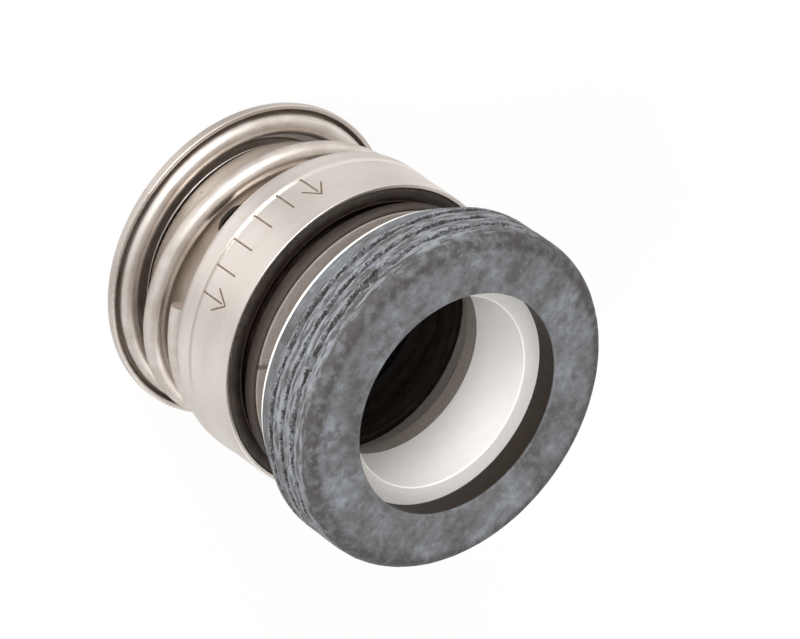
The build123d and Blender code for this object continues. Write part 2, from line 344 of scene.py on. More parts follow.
def cloud(tree, scale, seed, detail=2.0, flat=1.0):
    """Noise from -1 to 1 on the point's place; flat below 1 draws it out along the shaft."""
    spot = node(tree, "GeometryNodeInputPosition").outputs[0]
    spot = node(tree, "ShaderNodeVectorMath", {0: spot, 1: (1.0, 1.0, flat)}, operation="MULTIPLY").outputs[0]
    noise = node(tree, "ShaderNodeTexNoise", {"Vector": spot, "W": seed, "Scale": scale, "Detail": detail},
                 noise_dimensions="4D")
    return calc(tree, "MULTIPLY", calc(tree, "SUBTRACT", noise.outputs[0], 0.5), 2.0)


def push(tree, geometry, radial, along):
    """Moves points away from the shaft by radial and along it by along."""
    spot = node(tree, "GeometryNodeInputPosition").outputs[0]
    out = node(tree, "ShaderNodeVectorMath", {0: spot, 1: (1.0, 1.0, 0.0)}, operation="MULTIPLY").outputs[0]
    out = node(tree, "ShaderNodeVectorMath", {0: out}, operation="NORMALIZE").outputs[0]
    out = node(tree, "ShaderNodeVectorMath", {0: out, "Scale": radial}, operation="SCALE").outputs[0]
    rise = node(tree, "ShaderNodeCombineXYZ", {"Z": along}).outputs[0]
    offset = node(tree, "ShaderNodeVectorMath", {0: out, 1: rise}, operation="ADD").outputs[0]
    return node(tree, "GeometryNodeSetPosition", {"Geometry": geometry, "Offset": offset}).outputs[0]


def keep(tree, geometry, title, value):
    """Stores a number on each point for the material to read."""
    given = {"Geometry": geometry, "Name": title, "Value": value}
    made = node(tree, "GeometryNodeStoreNamedAttribute", given, data_type="FLOAT", domain="POINT")
    return made.outputs[0]


def torn_width(tree, given, turn, index):
    """How much wider the first groove is torn, in ragged places on each side of the front."""
    first = calc(tree, "LESS_THAN", index, 0.5)
    side_turn = calc(tree, "SUBTRACT", calc(tree, "ABSOLUTE", turn), given["Torn Turn"])
    near = calc(tree, "SUBTRACT", 1.0, smooth(tree, calc(tree, "ABSOLUTE", side_turn), 0.04, 0.2))
    ragged = smooth(tree, cloud(tree, 1100.0, 5.0, 3.0, 0.5), -0.1, 0.2)
    return times(tree, near, first, ragged, given["Torn Width"])


def cup_groove_tree(inputs, material):
    """Cuts the cup's ribs: evenly pitched grooves with wavering, worn edges, torn open in two places."""
    tree, given = geometry_tree("cup grooves", inputs)
    radius, turn, z = place(tree)
    waver = times(tree, cloud(tree, 190.0, 1.0, 3.0, 0.25), given["Waver"])
    dip = times(tree, calc(tree, "MAXIMUM", calc(tree, "COSINE", turn), 0.0), given["Dip"])
    level = calc(tree, "ADD", calc(tree, "ADD", z, waver), dip)
    drop = calc(tree, "SUBTRACT", given["First Height"], level)
    index = calc(tree, "ROUND", calc(tree, "DIVIDE", drop, given["Pitch"]))
    last_index = calc(tree, "SUBTRACT", given["Count"], 1.0)
    index = calc(tree, "MINIMUM", calc(tree, "MAXIMUM", index, 0.0), last_index)
    centre = calc(tree, "SUBTRACT", given["First Height"], times(tree, index, given["Pitch"]))
    away = calc(tree, "ABSOLUTE", calc(tree, "SUBTRACT", level, centre))
    wear = times(tree, cloud(tree, 420.0, 9.0, 4.0, 0.3), given["Wear"])
    half = calc(tree, "ADD", times(tree, given["Width"], 0.5), wear)
    half = calc(tree, "ADD", half, torn_width(tree, given, turn, index))
    half = calc(tree, "ADD", half, times(tree, cloud(tree, 1500.0, 4.0, 3.0, 0.6), given["Jag"]))
    inner, outer = calc(tree, "SUBTRACT", half, given["Edge"]), calc(tree, "ADD", half, given["Edge"])
    cut = calc(tree, "SUBTRACT", 1.0, smooth(tree, away, inner, outer))
    outside = smooth(tree, radius, calc(tree, "SUBTRACT", given["Cup Radius"], SIDE_FROM),
                     calc(tree, "SUBTRACT", given["Cup Radius"], SIDE_TO))
    last = calc(tree, "GREATER_THAN", index, calc(tree, "SUBTRACT", given["Count"], 1.5))
    cut = times(tree, cut, calc(tree, "SUBTRACT", 1.0, times(tree, last, given["Last Fade"])), outside)
    rough = calc(tree, "SUBTRACT", cloud(tree, 700.0, 2.0, 4.0, 0.5), 1.0)
    inward = calc(tree, "SUBTRACT", times(tree, rough, given["Rough"]), times(tree, cut, given["Depth"]))
    moved = push(tree, given["Geometry"], times(tree, inward, outside), 0.0)
    edge_gap = calc(tree, "DIVIDE", calc(tree, "SUBTRACT", away, half), MM)
    moved = keep(tree, moved, "edge gap", edge_gap)
    close_tree(tree, keep(tree, moved, "groove", cut), material)
    return tree


def make_seat_cup(material):
    ceramic_r, back, front = CERAMIC_HIGH.x, CUP_LOW.z, CUP_HIGH.z
    taper_z = back + CUP_TAPER_H
    outline = rounded([
        (LIP_R, front, CUP_LIP_ROUND), (CUP_R, front, CUP_SHOULDER_R), (CUP_R, taper_z, CUP_TAPER_ROUND),
        (ceramic_r + CUP_BACK_WALL, back), (ceramic_r, back), (ceramic_r, CERAMIC_HIGH.z, CUP_SEAT_ROUND),
        (LIP_R + LIP_DRAFT, CERAMIC_HIGH.z),
    ])
    outline = spaced(outline, lambda p: CUP_FINE_STEP if p.x > CUP_R - 0.01 * MM else CUP_COARSE_STEP)
    cup = lathe("seat_cup_rubber", outline, CUP_SEGMENTS)
    inputs = {
        "Cup Radius": CUP_R, "First Height": front - FIRST_GROOVE_DROP, "Pitch": GROOVE_PITCH,
        "Count": GROOVE_COUNT, "Width": GROOVE_W, "Depth": GROOVE_D, "Edge": GROOVE_EDGE,
        "Waver": GROOVE_WAVER, "Jag": GROOVE_JAG, "Dip": GROOVE_DIP, "Last Fade": LAST_GROOVE_FADE,
        "Wear": GROOVE_WEAR, "Rough": SIDE_ROUGH, "Torn Turn": math.radians(TORN_TURN),
        "Torn Width": TORN_WIDTH,
    }
    grown("seat_cup_rubber", cup_groove_tree(inputs, material), inputs, cup)
    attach(cup, "seat")
    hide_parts("seat_cup")
    return cup


def bellows_tree(inputs, material):
    """Gives the moulded bellows the slight ripple of soft rubber round its lip and folds."""
    tree, given = geometry_tree("bellows ripple", inputs)
    ripple = times(tree, calc(tree, "SUBTRACT", cloud(tree, 260.0, 3.0, 3.0), 1.0), given["Ripple"])
    close_tree(tree, push(tree, given["Geometry"], 0.0, ripple), material)
    return tree


def make_bellows(material):
    shell_front, carbon_back, shoulder = SHELL_HIGH.z, CARBON_LOW.z, CARBON_HIGH.z - NOSE_H
    flange_back, back = shoulder - FLANGE_T, BELLOWS_LOW.z
    collar_top = HOLDER_HIGH.z
    fold_out, fold_z = FOLD_R + SKIN, TAIL_LEN + 0.9 * SKIN
    head_back = carbon_back - HEAD_SKIN
    recess, lip_z = shell_front - RECESS_D, shell_front - LIP_SINK
    lip_in, carbon_r = NECK_R + RECESS_W, CARBON_HIGH.x
    collar_r, collar_z = carbon_r + COLLAR_WALL, shoulder - COLLAR_SINK
    pocket, pocket_lip = CARBON_BORE_R - 0.2 * MM, CARBON_BORE_R - POCKET_LIP
    pocket_front = shoulder - 1.9 * MM
    corners = [
        (SHAFT_R, back, SOFT_ROUND), (HOLE_R, back), (HOLE_R, collar_top + 0.05 * MM),
        (TAIL_R, collar_top + 0.3 * MM, SMALL_ROUND), (TAIL_R, TAIL_LEN, TAIL_ROUND),
        (fold_out, fold_z, FOLD_ROUND),
        (fold_out, head_back - 1.5 * SKIN, FOLD_ROUND), (TAIL_R - 0.6 * MM, head_back - 0.65 * MM, FOLD_ROUND),
        (HEAD_R, head_back, HEAD_ROUND), (HEAD_R, lip_z, LIP_ROUND), (lip_in, lip_z, HAIR_ROUND),
        (lip_in, recess, SOFT_ROUND), (NECK_R, recess, SOFT_ROUND),
        (NECK_R, flange_back - 0.75 * MM, SOFT_ROUND),
        (collar_r, flange_back - 0.25 * MM, SOFT_ROUND), (collar_r, collar_z, SMALL_ROUND),
        (carbon_r, collar_z), (carbon_r, flange_back),
        (CARBON_BODY_R, flange_back), (CARBON_BODY_R, carbon_back), (CARBON_BORE_R, carbon_back),
        (CARBON_BORE_R, pocket_front, LIP_ROUND), (pocket_lip, pocket_front, POCKET_ROUND),
        (pocket_lip, pocket_front - 1.2 * MM, POCKET_ROUND), (pocket, pocket_front - 1.7 * MM, SMALL_ROUND),
        (pocket, carbon_back + 0.9 * MM, SMALL_ROUND), (pocket - RIDGE, carbon_back + 0.2 * MM, RIDGE_ROUND),
        (pocket - RIDGE, carbon_back - 1.1 * MM, RIDGE_ROUND),
        (pocket + 0.1 * MM, head_back - 0.1 * MM, SMALL_ROUND),
        (FOLD_R, head_back - 2.1 * MM, FOLD_ROUND), (FOLD_R, fold_z + 0.6 * MM, FOLD_ROUND),
        (FOLD_R + 0.9 * MM, TAIL_LEN - 0.5 * MM, RIDGE_ROUND), (SHAFT_R, TAIL_LEN - 1.6 * MM, SOFT_ROUND),
    ]
    outline = spaced(rounded(corners), lambda p: BELLOWS_STEP)
    bellows = lathe("bellows_rubber", outline, BELLOWS_SEGMENTS)
    inputs = {"Ripple": BELLOWS_RIPPLE}
    grown("bellows_rubber", bellows_tree(inputs, material), inputs, bellows)
    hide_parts("bellows")
    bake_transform(bellows)
    return bellows


def eased(tree, turn, start, blend):
    """Degrees risen past start, eased in over a short stretch on each side of it."""
    past = calc(tree, "SUBTRACT", turn, start)
    near = calc(tree, "ADD", past, blend)
    near = calc(tree, "MINIMUM", calc(tree, "MAXIMUM", near, 0.0), calc(tree, "MULTIPLY", blend, 2.0))
    curve = calc(tree, "DIVIDE", calc(tree, "MULTIPLY", near, near), calc(tree, "MULTIPLY", blend, 4.0))
    return calc(tree, "ADD", curve, calc(tree, "MAXIMUM", calc(tree, "SUBTRACT", past, blend), 0.0))


def spring_tree(inputs, material):
    """Winds one round wire: a flat end turn, an open rise and a second flat end turn."""
    tree, given = geometry_tree("spring wire", inputs)
    line = node(tree, "GeometryNodeMeshLine", {"Count": given["Points"]}).outputs[0]
    index = node(tree, "GeometryNodeInputIndex").outputs[0]
    share = calc(tree, "DIVIDE", index, calc(tree, "SUBTRACT", given["Points"], 1.0))
    span = calc(tree, "SUBTRACT", given["End Turn"], given["Start Turn"])
    turn = calc(tree, "ADD", given["Start Turn"], calc(tree, "MULTIPLY", share, span))
    degrees = calc(tree, "DIVIDE", calc(tree, "SUBTRACT", given["High"], given["Low"]),
                   calc(tree, "DIVIDE", given["Pitch"], 360.0))
    rise_to = calc(tree, "ADD", given["Rise From"], degrees)
    risen = calc(tree, "SUBTRACT", eased(tree, turn, given["Rise From"], given["Blend"]),
                 eased(tree, turn, rise_to, given["Blend"]))
    z = calc(tree, "ADD", given["Low"], times(tree, risen, calc(tree, "DIVIDE", given["Pitch"], 360.0)))
    angle = calc(tree, "RADIANS", turn)
    reach = calc(tree, "MULTIPLY", given["Coil Radius"], -1.0)
    x = calc(tree, "MULTIPLY", calc(tree, "SINE", angle), reach)
    y = calc(tree, "MULTIPLY", calc(tree, "COSINE", angle), reach)
    spot = node(tree, "ShaderNodeCombineXYZ", {"X": x, "Y": y, "Z": z}).outputs[0]
    wound = node(tree, "GeometryNodeSetPosition", {"Geometry": line, "Position": spot}).outputs[0]
    path = node(tree, "GeometryNodeMeshToCurve", {0: wound}).outputs[0]
    along = node(tree, "GeometryNodeCaptureAttribute", {"Geometry": path})
    along.capture_items.new("FLOAT", "along")
    tree.links.new(node(tree, "GeometryNodeSplineParameter").outputs["Length"], along.inputs[1])
    ring = node(tree, "GeometryNodeCurvePrimitiveCircle", {
        "Resolution": given["Facets"], "Radius": given["Wire Radius"]}).outputs[0]
    around = node(tree, "GeometryNodeCaptureAttribute", {"Geometry": ring})
    around.capture_items.new("FLOAT", "around")
    tree.links.new(node(tree, "GeometryNodeSplineParameter").outputs["Factor"], around.inputs[1])
    wire = node(tree, "GeometryNodeCurveToMesh", {
        "Curve": along.outputs[0], "Profile Curve": around.outputs[0], "Fill Caps": True}).outputs[0]
    wire = keep(tree, wire, "along", along.outputs[1])
    wire = keep(tree, wire, "around", around.outputs[1])
    close_tree(tree, wire, material)
    return tree


def make_spring(material):
    inputs = {
        "Coil Radius": COIL_R, "Wire Radius": WIRE_R,
        "Low": SPRING_LOW.z + WIRE_R, "High": SPRING_HIGH.z - WIRE_R,
        "Pitch": COIL_PITCH, "Start Turn": COIL_START, "Rise From": COIL_RISE_FROM, "End Turn": COIL_END,
        "Blend": COIL_BLEND, "Points": COIL_POINTS, "Facets": WIRE_FACETS,
    }
    spring = grown("spring_wire", spring_tree(inputs, material), inputs)
    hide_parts("spring")
    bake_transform(spring)
    return spring


def stroke(tree, width, length, shift_x, shift_y, turn):
    """One etched line, flat: x runs round the shell and y along the shaft."""
    size = node(tree, "ShaderNodeCombineXYZ", {"X": width, "Y": length, "Z": 2.0 * MARK_LIFT}).outputs[0]
    bar = node(tree, "GeometryNodeMeshCube", {
        "Size": size, "Vertices X": 2, "Vertices Y": 8, "Vertices Z": 2})
    shift = node(tree, "ShaderNodeCombineXYZ", {"X": shift_x, "Y": shift_y}).outputs[0]
    return node(tree, "GeometryNodeTransform", {
        "Geometry": bar.outputs[0], "Translation": shift, "Rotation": (0.0, 0.0, turn)}).outputs[0]


def row_of(tree, count, first, step, mark):
    """Copies of a flat mark at equal turns, as points along x that are later rolled round the shell."""
    gap = node(tree, "ShaderNodeCombineXYZ", {"X": step}).outputs[0]
    start = node(tree, "ShaderNodeCombineXYZ", {"X": first}).outputs[0]
    points = node(tree, "GeometryNodeMeshLine", {"Count": count, "Start Location": start, "Offset": gap})
    given = {"Points": points.outputs[0], "Instance": mark}
    return node(tree, "GeometryNodeInstanceOnPoints", given).outputs[0]


def mark_tree(inputs, material):
    """Etched arrows that point to the seat, with plain bars between them, rolled round the shell."""
    tree, given = geometry_tree("shell marks", inputs)
    line, length, barb = given["Line"], given["Length"], given["Barb"]
    tip = calc(tree, "MULTIPLY", length, 0.5)
    lean = math.radians(BARB_TURN)
    back = calc(tree, "SUBTRACT", tip, calc(tree, "MULTIPLY", barb, 0.5 * math.cos(lean)))
    side = calc(tree, "MULTIPLY", barb, 0.5 * math.sin(lean))
    shaft = calc(tree, "SUBTRACT", length, given["Tip Gap"])
    shaft_shift = calc(tree, "MULTIPLY", given["Tip Gap"], -0.5)
    arrow = node(tree, "GeometryNodeJoinGeometry")
    for part in (stroke(tree, line, shaft, 0.0, shaft_shift, 0.0), stroke(tree, line, barb, side, back, lean),
                 stroke(tree, line, barb, calc(tree, "MULTIPLY", side, -1.0), back, -lean)):
        tree.links.new(part, arrow.inputs[0])
    reach = given["Shell Radius"]
    first = calc(tree, "MULTIPLY", calc(tree, "RADIANS", given["First Turn"]), reach)
    step = calc(tree, "MULTIPLY", calc(tree, "RADIANS", given["Turn Step"]), reach)
    bar_step = calc(tree, "DIVIDE", step, calc(tree, "ADD", given["Bars"], 1.0))
    bar = stroke(tree, line, shaft, 0.0, shaft_shift, 0.0)
    row = node(tree, "GeometryNodeJoinGeometry")
    tree.links.new(row_of(tree, given["Arrows"], first, step, arrow.outputs[0]), row.inputs[0])
    first_bar = calc(tree, "ADD", first, bar_step)
    tree.links.new(row_of(tree, given["Bars"], first_bar, bar_step, bar), row.inputs[0])
    flat = node(tree, "GeometryNodeRealizeInstances", {"Geometry": row.outputs[0]}).outputs[0]
    xyz = split(tree, node(tree, "GeometryNodeInputPosition").outputs[0])
    angle = calc(tree, "DIVIDE", xyz[0], reach)
    out = calc(tree, "MULTIPLY", calc(tree, "ADD", reach, xyz[2]), -1.0)
    x = calc(tree, "MULTIPLY", calc(tree, "SINE", angle), out)
    y = calc(tree, "MULTIPLY", calc(tree, "COSINE", angle), out)
    z = calc(tree, "ADD", xyz[1], given["Height"])
    spot = node(tree, "ShaderNodeCombineXYZ", {"X": x, "Y": y, "Z": z})
    rolled = node(tree, "GeometryNodeSetPosition", {"Geometry": flat, "Position": spot.outputs[0]}).outputs[0]
    close_tree(tree, rolled, material)
    return tree


def make_marks(material):
    inputs = {
        "Shell Radius": SHELL_BAND_R, "Height": SHELL_HIGH.z - MARK_DROP, "First Turn": MARK_AT,
        "Turn Step": MARK_STEP, "Arrows": ARROW_COUNT, "Bars": BAR_COUNT, "Line": MARK_LINE,
        "Length": ARROW_LEN, "Tip Gap": ARROW_GAP, "Barb": BARB_LEN,
    }
    marks = grown("shell_marks", mark_tree(inputs, material), inputs)
    marks.data.polygons.foreach_set("use_smooth", [False] * len(marks.data.polygons))
    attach(marks, "head")
    return marks


# Materials

def new_material(name, metallic=0.0, ior=1.5):
    material = bpy.data.materials.new(name)
    material.use_nodes = True
    tree = material.node_tree
    shader = tree.nodes["Principled BSDF"]
    shader.inputs["Metallic"].default_value = metallic
    shader.inputs["IOR"].default_value = ior
    return material, tree, shader


def object_point(tree, stretch=(1.0, 1.0, 1.0)):
    spot = node(tree, "ShaderNodeTexCoord").outputs["Object"]
    return node(tree, "ShaderNodeMapping", {"Vector": spot, "Scale": stretch}).outputs[0]


def noise(tree, vector, scale, detail=3.0, roughness=0.55):
    made = node(tree, "ShaderNodeTexNoise", {"Vector": vector, "Scale": scale, "Detail": detail,
                                             "Roughness": roughness})
    return made.outputs[0]


def shades(tree, value, stops):
    """Colours by value: stops are (place, colour) pairs."""
    ramp = node(tree, "ShaderNodeValToRGB", {0: value})
    while len(ramp.color_ramp.elements) < len(stops):
        ramp.color_ramp.elements.new(0.5)
    for element, (at, colour) in zip(ramp.color_ramp.elements, stops):
        element.position = at
        element.color = (*colour, 1.0)
    return ramp.outputs[0]


def mix(tree, share, a, b, blend="MIX"):
    made = node(tree, "ShaderNodeMix", {0: share}, data_type="RGBA", blend_type=blend)
    for socket, value in ((made.inputs[6], a), (made.inputs[7], b)):
        if isinstance(value, bpy.types.NodeSocket):
            tree.links.new(value, socket)
        else:
            socket.default_value = (*value, 1.0)
    return made.outputs[2]


def spread(tree, value, low, high):
    return node(tree, "ShaderNodeMapRange", {"Value": value, "To Min": low, "To Max": high}).outputs["Result"]


def relief(tree, shader, height, distance, strength=1.0):
    bump = node(tree, "ShaderNodeBump", {"Height": height, "Distance": distance, "Strength": strength})
    tree.links.new(bump.outputs[0], shader.inputs["Normal"])


def set_colour(tree, shader, colour, roughness):
    tree.links.new(colour, shader.inputs["Base Color"])
    tree.links.new(roughness, shader.inputs["Roughness"])


def turned_point(tree, across, around):
    """A point that changes fast across turning marks (radius and height) and slowly round the shaft."""
    xyz = split(tree, node(tree, "ShaderNodeTexCoord").outputs["Object"])
    turn = calc(tree, "ARCTAN2", xyz[0], xyz[1])
    made = node(tree, "ShaderNodeCombineXYZ", {
        "X": times(tree, radius_of(tree, xyz), across), "Y": times(tree, turn, around),
        "Z": times(tree, xyz[2], across)})
    return made.outputs[0]


def ring_place(tree):
    """Radius from the shaft and height, for marks that belong to one part of a turned piece."""
    xyz = split(tree, node(tree, "ShaderNodeTexCoord").outputs["Object"])
    return radius_of(tree, xyz), xyz[2]


def lay_over(tree, mask, share, under, over):
    """Lays a colour over another where the mask is 1, at most by share."""
    return mix(tree, times(tree, mask, share), under, over)


def steel(name, bright, shade, polish, lines=6000.0, stain=0.3):
    """Warm stainless sheet: fine turning lines, slow changes of tone, faint brown specks."""
    material, tree, shader = new_material(name, metallic=1.0)
    drawn = noise(tree, turned_point(tree, lines, 6.0), scale=1.0, detail=2.0)
    tone = noise(tree, turned_point(tree, 500.0, 1.6), scale=1.0, detail=3.0)
    grain = noise(tree, object_point(tree), scale=5200.0, detail=3.0)
    specks = noise(tree, object_point(tree, (1.0, 1.0, 0.6)), scale=3600.0, detail=2.0)
    stained = smooth(tree, specks, 0.66, 0.78)
    colour = lay_over(tree, stained, stain, shades(tree, tone, [(0.32, shade), (0.66, bright)]), STEEL_SPECK)
    rough = calc(tree, "ADD", spread(tree, drawn, polish - 0.05, polish + 0.07), times(tree, stained, 0.1))
    set_colour(tree, shader, colour, rough)
    relief(tree, shader, calc(tree, "ADD", drawn, times(tree, grain, 0.5)), distance=0.008 * MM, strength=0.7)
    return material


def wire_steel(name, bright, shade, polish):
    """Drawn round wire: die lines along its length, soft changes of tone and a brown bloom in places."""
    material, tree, shader = new_material(name, metallic=1.0)
    along = node(tree, "ShaderNodeAttribute", attribute_name="along").outputs["Fac"]
    around = node(tree, "ShaderNodeAttribute", attribute_name="around").outputs["Fac"]
    turn = times(tree, around, 2.0 * math.pi)
    spot = node(tree, "ShaderNodeCombineXYZ", {
        "X": calc(tree, "COSINE", turn), "Y": calc(tree, "SINE", turn),
        "Z": times(tree, along, 60.0)}).outputs[0]
    lines = noise(tree, spot, scale=7.0, detail=5.0)
    clouds = noise(tree, object_point(tree), scale=420.0, detail=4.0)
    colour = shades(tree, clouds, [(0.35, shade), (0.6, bright)])
    colour = lay_over(tree, smooth(tree, lines, 0.56, 0.72), 0.5, colour, WIRE_BLOOM)
    set_colour(tree, shader, colour, spread(tree, lines, polish - 0.06, polish + 0.1))
    relief(tree, shader, lines, distance=0.014 * MM, strength=0.8)
    return material


def worn_rubber(tree, colour, on_side):
    """Lays smears along the ribs and bare streaks over rubber."""
    streaks = noise(tree, turned_point(tree, 3400.0, 8.0), scale=1.0, detail=6.0, roughness=0.66)
    colour = lay_over(tree, times(tree, smooth(tree, streaks, 0.51, 0.57), on_side), 0.6, colour, CUP_SMEAR)
    return lay_over(tree, times(tree, smooth(tree, streaks, 0.5, 0.44), on_side), 0.85, colour, CUP_BARE)


def groove_shade_and_highlight(tree, colour, on_side):
    """Paints shade into the grooves, with a painted highlight line and a ragged edge of painted shade along
    their edges.
    """
    groove = node(tree, "ShaderNodeAttribute", attribute_name="groove").outputs["Fac"]
    # Painted shade in the grooves.
    colour = lay_over(tree, groove, 0.92, colour, CUP_GROOVE_SHADE)
    gap = node(tree, "ShaderNodeAttribute", attribute_name="edge gap").outputs["Fac"]
    edge_wobble = noise(tree, object_point(tree), scale=4400.0, detail=3.0, roughness=0.6)
    ragged = calc(tree, "ADD", gap, times(tree, calc(tree, "SUBTRACT", edge_wobble, 0.5), 0.7))
    off_line = calc(tree, "ABSOLUTE", calc(tree, "SUBTRACT", ragged, 0.14))
    # Painted highlight line on the land beside each groove edge.
    colour = lay_over(tree, times(tree, smooth(tree, off_line, 0.1, 0.02), on_side), 0.45, colour, CUP_EDGE_HIGHLIGHT)
    # Ragged painted shade just past the groove edges.
    return lay_over(tree, times(tree, smooth(tree, ragged, 0.03, -0.03), on_side), 0.8, colour, CUP_GROOVE_SHADE)


def cup_rubber(name):
    """Blue-grey moulded rubber: dusty clouds, dark blots and scuffs, painted shade in the grooves with painted
    highlight lines beside them, painted shade round the rounded front corner, smeared along the ribs,
    brown-black on the wall of the lip."""
    material, tree, shader = new_material(name)
    radius, height = ring_place(tree)
    clouds = noise(tree, object_point(tree), scale=240.0, detail=6.0, roughness=0.62)
    bloom = noise(tree, object_point(tree), scale=1100.0, detail=5.0, roughness=0.65)
    colour = shades(tree, calc(tree, "ADD", times(tree, clouds, 0.62), times(tree, bloom, 0.38)), CUP_SHADES)
    blots = noise(tree, object_point(tree, (1.0, 1.0, 2.0)), scale=620.0, detail=3.0, roughness=0.5)
    colour = lay_over(tree, smooth(tree, blots, 0.6, 0.65), 0.5, colour, CUP_BLOT)
    scuffs = noise(tree, object_point(tree, (3.2, 0.8, 1.0)), scale=1300.0, detail=4.0, roughness=0.7)
    colour = lay_over(tree, smooth(tree, scuffs, 0.6, 0.72), 0.45, colour, CUP_SCUFF)
    on_side = smooth(tree, radius, CUP_R - 0.55 * MM, CUP_R - 0.2 * MM)
    colour = worn_rubber(tree, colour, on_side)
    # Painted shade round the rounded front corner, made patchy by the bloom cloud.
    corner = times(tree, smooth(tree, radius, CUP_R - 1.9 * MM, CUP_R - 1.1 * MM),
                   smooth(tree, height, CUP_HIGH.z - 1.25 * MM, CUP_HIGH.z - 0.7 * MM))
    patchy = spread(tree, smooth(tree, bloom, 0.62, 0.4), 0.5, 1.0)
    colour = groove_shade_and_highlight(tree, lay_over(tree, corner, patchy, colour, CUP_CORNER_SHADE), on_side)
    wall = times(tree, smooth(tree, radius, LIP_R + 0.4 * MM, LIP_R + 0.3 * MM),
                 smooth(tree, height, CUP_HIGH.z - 0.1 * MM, CUP_HIGH.z - 0.3 * MM))
    colour = mix(tree, wall, colour, CUP_LIP_WALL)
    set_colour(tree, shader, colour, spread(tree, clouds, 0.7, 0.52))
    shader.inputs["Specular IOR Level"].default_value = 0.35
    pits = noise(tree, object_point(tree), scale=2600.0, detail=5.0)
    worn = calc(tree, "ADD", times(tree, pits, 0.6), times(tree, scuffs, 0.6))
    relief(tree, shader, worn, distance=0.05 * MM, strength=0.8)
    return material


def bellows_rubber(name):
    """Soft brown-black rubber with faint rings and grey bloom, a front lip lightened by dust and painted sheen,
    a lighter brown line on the lip's inner edge and a collar with painted light at its top fading into painted
    shade downwards."""
    material, tree, shader = new_material(name)
    radius, height = ring_place(tree)
    lip_z, inner = SHELL_HIGH.z - LIP_SINK, NECK_R + RECESS_W
    collar_z = CARBON_HIGH.z - NOSE_H - COLLAR_SINK
    dust = noise(tree, object_point(tree), scale=1100.0, detail=6.0, roughness=0.65)
    rings = noise(tree, turned_point(tree, 2200.0, 3.0), scale=1.0, detail=2.0)
    colour = shades(tree, dust, BELLOWS_SHADES)
    colour = lay_over(tree, smooth(tree, rings, 0.54, 0.66), 0.7, colour, BELLOWS_RING)
    # The front lip's face is lightened by dust and painted sheen.
    front = smooth(tree, height, lip_z - 0.12 * MM, lip_z - 0.04 * MM)
    lip = times(tree, front, smooth(tree, radius, inner + 0.25 * MM, HEAD_R - 0.1 * MM))
    colour = lay_over(tree, lip, spread(tree, dust, 0.0, 1.4), colour, BELLOWS_LIP_DUST_AND_SHEEN)
    # A lighter brown line along the lip's rounded inner edge.
    off_edge = calc(tree, "ABSOLUTE", calc(tree, "SUBTRACT", radius, inner + 0.05 * MM))
    inner_edge_line = times(tree, smooth(tree, off_edge, 0.13 * MM, 0.04 * MM),
                  smooth(tree, height, lip_z - 0.25 * MM, lip_z - 0.1 * MM),
                  smooth(tree, height, SHELL_HIGH.z + 0.3 * MM, SHELL_HIGH.z + 0.1 * MM))
    colour = mix(tree, inner_edge_line, colour, BELLOWS_INNER_EDGE_BROWN)
    # Painted light on the top of the collar, fading down into painted shade.
    collar = smooth(tree, height, collar_z - 1.05 * MM, collar_z)
    colour = lay_over(tree, collar, 0.8, colour, BELLOWS_COLLAR_TOP_LIGHT)
    set_colour(tree, shader, colour, spread(tree, dust, 0.52, 0.7))
    shader.inputs["Specular IOR Level"].default_value = 0.22
    relief(tree, shader, calc(tree, "ADD", rings, dust), distance=0.02 * MM, strength=0.5)
    return material


def carbon_graphite(name):
    """Turned carbon: grey-brown and satin, with faint rings."""
    material, tree, shader = new_material(name)
    rings = noise(tree, turned_point(tree, 5200.0, 2.0), scale=1.0, detail=2.0)
    grain = noise(tree, object_point(tree), scale=3800.0, detail=4.0)
    colour = shades(tree, grain, CARBON_SHADES)
    colour = lay_over(tree, smooth(tree, rings, 0.55, 0.75), 0.35, colour, CARBON_RING)
    set_colour(tree, shader, colour, spread(tree, rings, 0.52, 0.64))
    shader.inputs["Specular IOR Level"].default_value = 0.3
    relief(tree, shader, rings, distance=0.006 * MM, strength=0.5)
    return material


def white_ceramic(name):
    """Dense white alumina with a fine satin ground surface."""
    material, tree, shader = new_material(name, ior=1.6)
    grain = noise(tree, object_point(tree), scale=1500.0, detail=4.0)
    rings = noise(tree, turned_point(tree, 2500.0, 2.0), scale=1.0, detail=2.0)
    set_colour(tree, shader, shades(tree, grain, CERAMIC_SHADES), spread(tree, rings, 0.3, 0.42))
    relief(tree, shader, grain, distance=0.004 * MM, strength=0.4)
    return material


def burnt_mark(name):
    """Brown oxide line that an etching pen leaves on steel."""
    material, tree, shader = new_material(name, metallic=0.35)
    grain = noise(tree, object_point(tree), scale=5000.0, detail=3.0)
    set_colour(tree, shader, shades(tree, grain, MARK_SHADES), spread(tree, grain, 0.45, 0.65))
    return material


def dress(name, material):
    """Puts a material on a CAD node in place of its plain one."""
    for slot in nodes[name].material_slots:
        slot.material = material


# The pieces

make_seat_cup(cup_rubber("cup rubber"))
make_bellows(bellows_rubber("bellows rubber"))
make_spring(wire_steel("spring wire", SILVER, DULL, polish=0.42))
make_marks(burnt_mark("etched mark"))
dress("shell", steel("shell steel", SHELL_BRIGHT, SHELL_SHADE, polish=0.32))
dress("drive_band", steel("band steel", BAND_BRIGHT, BAND_SHADE, polish=0.44, lines=3400.0, stain=0.7))
dress("spring_holder", steel("holder steel", SILVER, DULL, polish=0.4, lines=5000.0, stain=0.5))
dress("carbon_ring", carbon_graphite("carbon"))
dress("ceramic_seat", white_ceramic("ceramic"))


# Floor, light and camera

def light_path(tree, names):
    """1 for rays of the named kinds."""
    rays = node(tree, "ShaderNodeLightPath").outputs
    seen = rays[names[0]]
    for name in names[1:]:
        seen = calc(tree, "MAXIMUM", seen, rays[name])
    return seen


